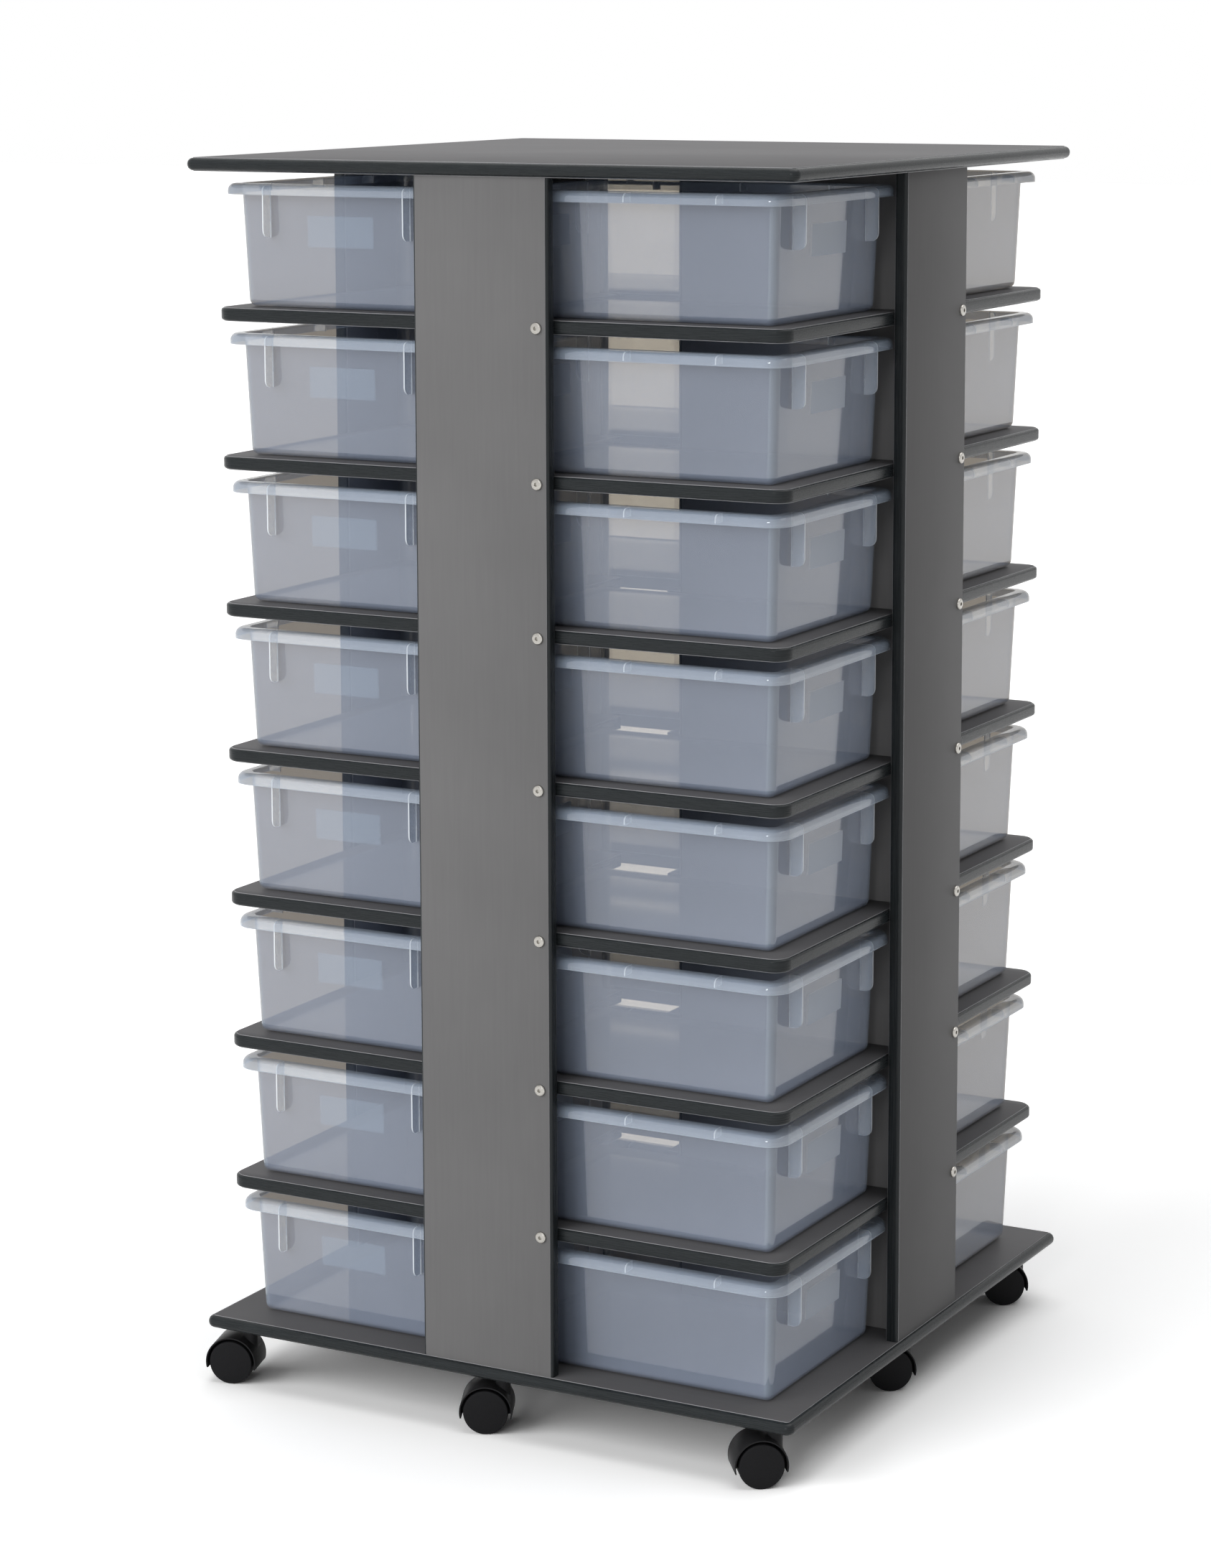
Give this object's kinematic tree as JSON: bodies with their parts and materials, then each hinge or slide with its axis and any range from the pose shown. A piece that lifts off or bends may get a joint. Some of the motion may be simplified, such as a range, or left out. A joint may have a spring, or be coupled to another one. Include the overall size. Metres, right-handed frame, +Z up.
{
  "type": "classroom tray storage unit",
  "caption": "Square rolling tray tower: four pinwheel columns of clear lift-out trays between two square boards, with upright face panels and twin-wheel casters.",
  "frame": {"origin": "on the floor, under the centre of the base", "axes": "+Z up, -Y out of the front face, +X to the right of the front face"},
  "size_m": [0.7603, 0.7657, 1.401],
  "materials": {
    "board": "satin",
    "clear_plastic": "gloss",
    "nickel": "polished",
    "zinc": "satin",
    "caster_black": "satin",
    "wheel_black": "satin"
  },
  "bodies": {
    "unit": {"base_board": "board", "top_board": "board", "face_panels": "board", "dividers": "board", "shelves_front": "board", "shelves_right": "board", "shelves_back": "board", "shelves_left": "board", "panel_screws": "nickel", "caster_plates": "zinc"},
    "tray_front_1": {"tray_front_1": "clear_plastic"},
    "tray_front_2": {"tray_front_2": "clear_plastic"},
    "tray_front_3": {"tray_front_3": "clear_plastic"},
    "tray_front_4": {"tray_front_4": "clear_plastic"},
    "tray_front_5": {"tray_front_5": "clear_plastic"},
    "tray_front_6": {"tray_front_6": "clear_plastic"},
    "tray_front_7": {"tray_front_7": "clear_plastic"},
    "tray_front_8": {"tray_front_8": "clear_plastic"},
    "tray_right_1": {"tray_right_1": "clear_plastic"},
    "tray_right_2": {"tray_right_2": "clear_plastic"},
    "tray_right_3": {"tray_right_3": "clear_plastic"},
    "tray_right_4": {"tray_right_4": "clear_plastic"},
    "tray_right_5": {"tray_right_5": "clear_plastic"},
    "tray_right_6": {"tray_right_6": "clear_plastic"},
    "tray_right_7": {"tray_right_7": "clear_plastic"},
    "tray_right_8": {"tray_right_8": "clear_plastic"},
    "tray_back_1": {"tray_back_1": "clear_plastic"},
    "tray_back_2": {"tray_back_2": "clear_plastic"},
    "tray_back_3": {"tray_back_3": "clear_plastic"},
    "tray_back_4": {"tray_back_4": "clear_plastic"},
    "tray_back_5": {"tray_back_5": "clear_plastic"},
    "tray_back_6": {"tray_back_6": "clear_plastic"},
    "tray_back_7": {"tray_back_7": "clear_plastic"},
    "tray_back_8": {"tray_back_8": "clear_plastic"},
    "tray_left_1": {"tray_left_1": "clear_plastic"},
    "tray_left_2": {"tray_left_2": "clear_plastic"},
    "tray_left_3": {"tray_left_3": "clear_plastic"},
    "tray_left_4": {"tray_left_4": "clear_plastic"},
    "tray_left_5": {"tray_left_5": "clear_plastic"},
    "tray_left_6": {"tray_left_6": "clear_plastic"},
    "tray_left_7": {"tray_left_7": "clear_plastic"},
    "tray_left_8": {"tray_left_8": "clear_plastic"},
    "caster_hood_front_left": {"caster_hood_front_left": "caster_black"},
    "caster_wheels_front_left": {"caster_wheels_front_left": "wheel_black"},
    "caster_hood_front_middle": {"caster_hood_front_middle": "caster_black"},
    "caster_wheels_front_middle": {"caster_wheels_front_middle": "wheel_black"},
    "caster_hood_front_right": {"caster_hood_front_right": "caster_black"},
    "caster_wheels_front_right": {"caster_wheels_front_right": "wheel_black"},
    "caster_hood_right_middle": {"caster_hood_right_middle": "caster_black"},
    "caster_wheels_right_middle": {"caster_wheels_right_middle": "wheel_black"},
    "caster_hood_back_right": {"caster_hood_back_right": "caster_black"},
    "caster_wheels_back_right": {"caster_wheels_back_right": "wheel_black"},
    "caster_hood_back_middle": {"caster_hood_back_middle": "caster_black"},
    "caster_wheels_back_middle": {"caster_wheels_back_middle": "wheel_black"},
    "caster_hood_back_left": {"caster_hood_back_left": "caster_black"},
    "caster_wheels_back_left": {"caster_wheels_back_left": "wheel_black"},
    "caster_hood_left_middle": {"caster_hood_left_middle": "caster_black"},
    "caster_wheels_left_middle": {"caster_wheels_left_middle": "wheel_black"}
  },
  "joints": [
    {"name": "tray_front_1_lift", "type": "slide", "parent": "unit", "child": "tray_front_1", "axis": [0, 0, 1], "range_m": [0, 0.0134]},
    {"name": "tray_front_2_lift", "type": "slide", "parent": "unit", "child": "tray_front_2", "axis": [0, 0, 1], "range_m": [0, 0.0134]},
    {"name": "tray_front_3_lift", "type": "slide", "parent": "unit", "child": "tray_front_3", "axis": [0, 0, 1], "range_m": [0, 0.0134]},
    {"name": "tray_front_4_lift", "type": "slide", "parent": "unit", "child": "tray_front_4", "axis": [0, 0, 1], "range_m": [0, 0.0134]},
    {"name": "tray_front_5_lift", "type": "slide", "parent": "unit", "child": "tray_front_5", "axis": [0, 0, 1], "range_m": [0, 0.0134]},
    {"name": "tray_front_6_lift", "type": "slide", "parent": "unit", "child": "tray_front_6", "axis": [0, 0, 1], "range_m": [0, 0.0134]},
    {"name": "tray_front_7_lift", "type": "slide", "parent": "unit", "child": "tray_front_7", "axis": [0, 0, 1], "range_m": [0, 0.0134]},
    {"name": "tray_front_8_lift", "type": "slide", "parent": "unit", "child": "tray_front_8", "axis": [0, 0, 1], "range_m": [0, 0.0134]},
    {"name": "tray_right_1_lift", "type": "slide", "parent": "unit", "child": "tray_right_1", "axis": [0, 0, 1], "range_m": [0, 0.0134]},
    {"name": "tray_right_2_lift", "type": "slide", "parent": "unit", "child": "tray_right_2", "axis": [0, 0, 1], "range_m": [0, 0.0134]},
    {"name": "tray_right_3_lift", "type": "slide", "parent": "unit", "child": "tray_right_3", "axis": [0, 0, 1], "range_m": [0, 0.0134]},
    {"name": "tray_right_4_lift", "type": "slide", "parent": "unit", "child": "tray_right_4", "axis": [0, 0, 1], "range_m": [0, 0.0134]},
    {"name": "tray_right_5_lift", "type": "slide", "parent": "unit", "child": "tray_right_5", "axis": [0, 0, 1], "range_m": [0, 0.0134]},
    {"name": "tray_right_6_lift", "type": "slide", "parent": "unit", "child": "tray_right_6", "axis": [0, 0, 1], "range_m": [0, 0.0134]},
    {"name": "tray_right_7_lift", "type": "slide", "parent": "unit", "child": "tray_right_7", "axis": [0, 0, 1], "range_m": [0, 0.0134]},
    {"name": "tray_right_8_lift", "type": "slide", "parent": "unit", "child": "tray_right_8", "axis": [0, 0, 1], "range_m": [0, 0.0134]},
    {"name": "tray_back_1_lift", "type": "slide", "parent": "unit", "child": "tray_back_1", "axis": [0, 0, 1], "range_m": [0, 0.0134]},
    {"name": "tray_back_2_lift", "type": "slide", "parent": "unit", "child": "tray_back_2", "axis": [0, 0, 1], "range_m": [0, 0.0134]},
    {"name": "tray_back_3_lift", "type": "slide", "parent": "unit", "child": "tray_back_3", "axis": [0, 0, 1], "range_m": [0, 0.0134]},
    {"name": "tray_back_4_lift", "type": "slide", "parent": "unit", "child": "tray_back_4", "axis": [0, 0, 1], "range_m": [0, 0.0134]},
    {"name": "tray_back_5_lift", "type": "slide", "parent": "unit", "child": "tray_back_5", "axis": [0, 0, 1], "range_m": [0, 0.0134]},
    {"name": "tray_back_6_lift", "type": "slide", "parent": "unit", "child": "tray_back_6", "axis": [0, 0, 1], "range_m": [0, 0.0134]},
    {"name": "tray_back_7_lift", "type": "slide", "parent": "unit", "child": "tray_back_7", "axis": [0, 0, 1], "range_m": [0, 0.0134]},
    {"name": "tray_back_8_lift", "type": "slide", "parent": "unit", "child": "tray_back_8", "axis": [0, 0, 1], "range_m": [0, 0.0134]},
    {"name": "tray_left_1_lift", "type": "slide", "parent": "unit", "child": "tray_left_1", "axis": [0, 0, 1], "range_m": [0, 0.0134]},
    {"name": "tray_left_2_lift", "type": "slide", "parent": "unit", "child": "tray_left_2", "axis": [0, 0, 1], "range_m": [0, 0.0134]},
    {"name": "tray_left_3_lift", "type": "slide", "parent": "unit", "child": "tray_left_3", "axis": [0, 0, 1], "range_m": [0, 0.0134]},
    {"name": "tray_left_4_lift", "type": "slide", "parent": "unit", "child": "tray_left_4", "axis": [0, 0, 1], "range_m": [0, 0.0134]},
    {"name": "tray_left_5_lift", "type": "slide", "parent": "unit", "child": "tray_left_5", "axis": [0, 0, 1], "range_m": [0, 0.0134]},
    {"name": "tray_left_6_lift", "type": "slide", "parent": "unit", "child": "tray_left_6", "axis": [0, 0, 1], "range_m": [0, 0.0134]},
    {"name": "tray_left_7_lift", "type": "slide", "parent": "unit", "child": "tray_left_7", "axis": [0, 0, 1], "range_m": [0, 0.0134]},
    {"name": "tray_left_8_lift", "type": "slide", "parent": "unit", "child": "tray_left_8", "axis": [0, 0, 1], "range_m": [0, 0.0134]},
    {"name": "caster_hood_front_left_swivel", "type": "hinge", "parent": "unit", "child": "caster_hood_front_left", "pos_m": [-0.3355, -0.3355, 0.06], "axis": [0, 0, 1], "continuous": true},
    {"name": "caster_wheels_front_left_spin", "type": "hinge", "parent": "caster_hood_front_left", "child": "caster_wheels_front_left", "pos_m": [-0.35271, -0.34076, 0.025], "axis": [-0.2924, 0.9563, 0], "continuous": true},
    {"name": "caster_hood_front_middle_swivel", "type": "hinge", "parent": "unit", "child": "caster_hood_front_middle", "pos_m": [0, -0.3355, 0.06], "axis": [0, 0, 1], "continuous": true},
    {"name": "caster_wheels_front_middle_spin", "type": "hinge", "parent": "caster_hood_front_middle", "child": "caster_wheels_front_middle", "pos_m": [-0.01631, -0.34311, 0.025], "axis": [-0.4226, 0.9063, 0], "continuous": true},
    {"name": "caster_hood_front_right_swivel", "type": "hinge", "parent": "unit", "child": "caster_hood_front_right", "pos_m": [0.3355, -0.3355, 0.06], "axis": [0, 0, 1], "continuous": true},
    {"name": "caster_wheels_front_right_spin", "type": "hinge", "parent": "caster_hood_front_right", "child": "caster_wheels_front_right", "pos_m": [0.32103, -0.34621, 0.025], "axis": [-0.5948, 0.8039, 0], "continuous": true},
    {"name": "caster_hood_right_middle_swivel", "type": "hinge", "parent": "unit", "child": "caster_hood_right_middle", "pos_m": [0.3355, 0, 0.06], "axis": [0, 0, 1], "continuous": true},
    {"name": "caster_wheels_right_middle_spin", "type": "hinge", "parent": "caster_hood_right_middle", "child": "caster_wheels_right_middle", "pos_m": [0.32058, -0.01007, 0.025], "axis": [-0.5592, 0.829, 0], "continuous": true},
    {"name": "caster_hood_back_right_swivel", "type": "hinge", "parent": "unit", "child": "caster_hood_back_right", "pos_m": [0.3355, 0.3355, 0.06], "axis": [0, 0, 1], "continuous": true},
    {"name": "caster_wheels_back_right_spin", "type": "hinge", "parent": "caster_hood_back_right", "child": "caster_wheels_back_right", "pos_m": [0.32024, 0.32596, 0.025], "axis": [-0.5299, 0.848, 0], "continuous": true},
    {"name": "caster_hood_back_middle_swivel", "type": "hinge", "parent": "unit", "child": "caster_hood_back_middle", "pos_m": [0, 0.3355, 0.06], "axis": [0, 0, 1], "continuous": true},
    {"name": "caster_wheels_back_middle_spin", "type": "hinge", "parent": "caster_hood_back_middle", "child": "caster_wheels_back_middle", "pos_m": [-0.01295, 0.348, 0.025], "axis": [0.6947, 0.7193, 0], "continuous": true},
    {"name": "caster_hood_back_left_swivel", "type": "hinge", "parent": "unit", "child": "caster_hood_back_left", "pos_m": [-0.3355, 0.3355, 0.06], "axis": [0, 0, 1], "continuous": true},
    {"name": "caster_wheels_back_left_spin", "type": "hinge", "parent": "caster_hood_back_left", "child": "caster_wheels_back_left", "pos_m": [-0.35323, 0.33237, 0.025], "axis": [-0.1736, 0.9848, 0], "continuous": true},
    {"name": "caster_hood_left_middle_swivel", "type": "hinge", "parent": "unit", "child": "caster_hood_left_middle", "pos_m": [-0.3355, 0, 0.06], "axis": [0, 0, 1], "continuous": true},
    {"name": "caster_wheels_left_middle_spin", "type": "hinge", "parent": "caster_hood_left_middle", "child": "caster_wheels_left_middle", "pos_m": [-0.35139, -0.00845, 0.025], "axis": [-0.4695, 0.8829, 0], "continuous": true}
  ]
}
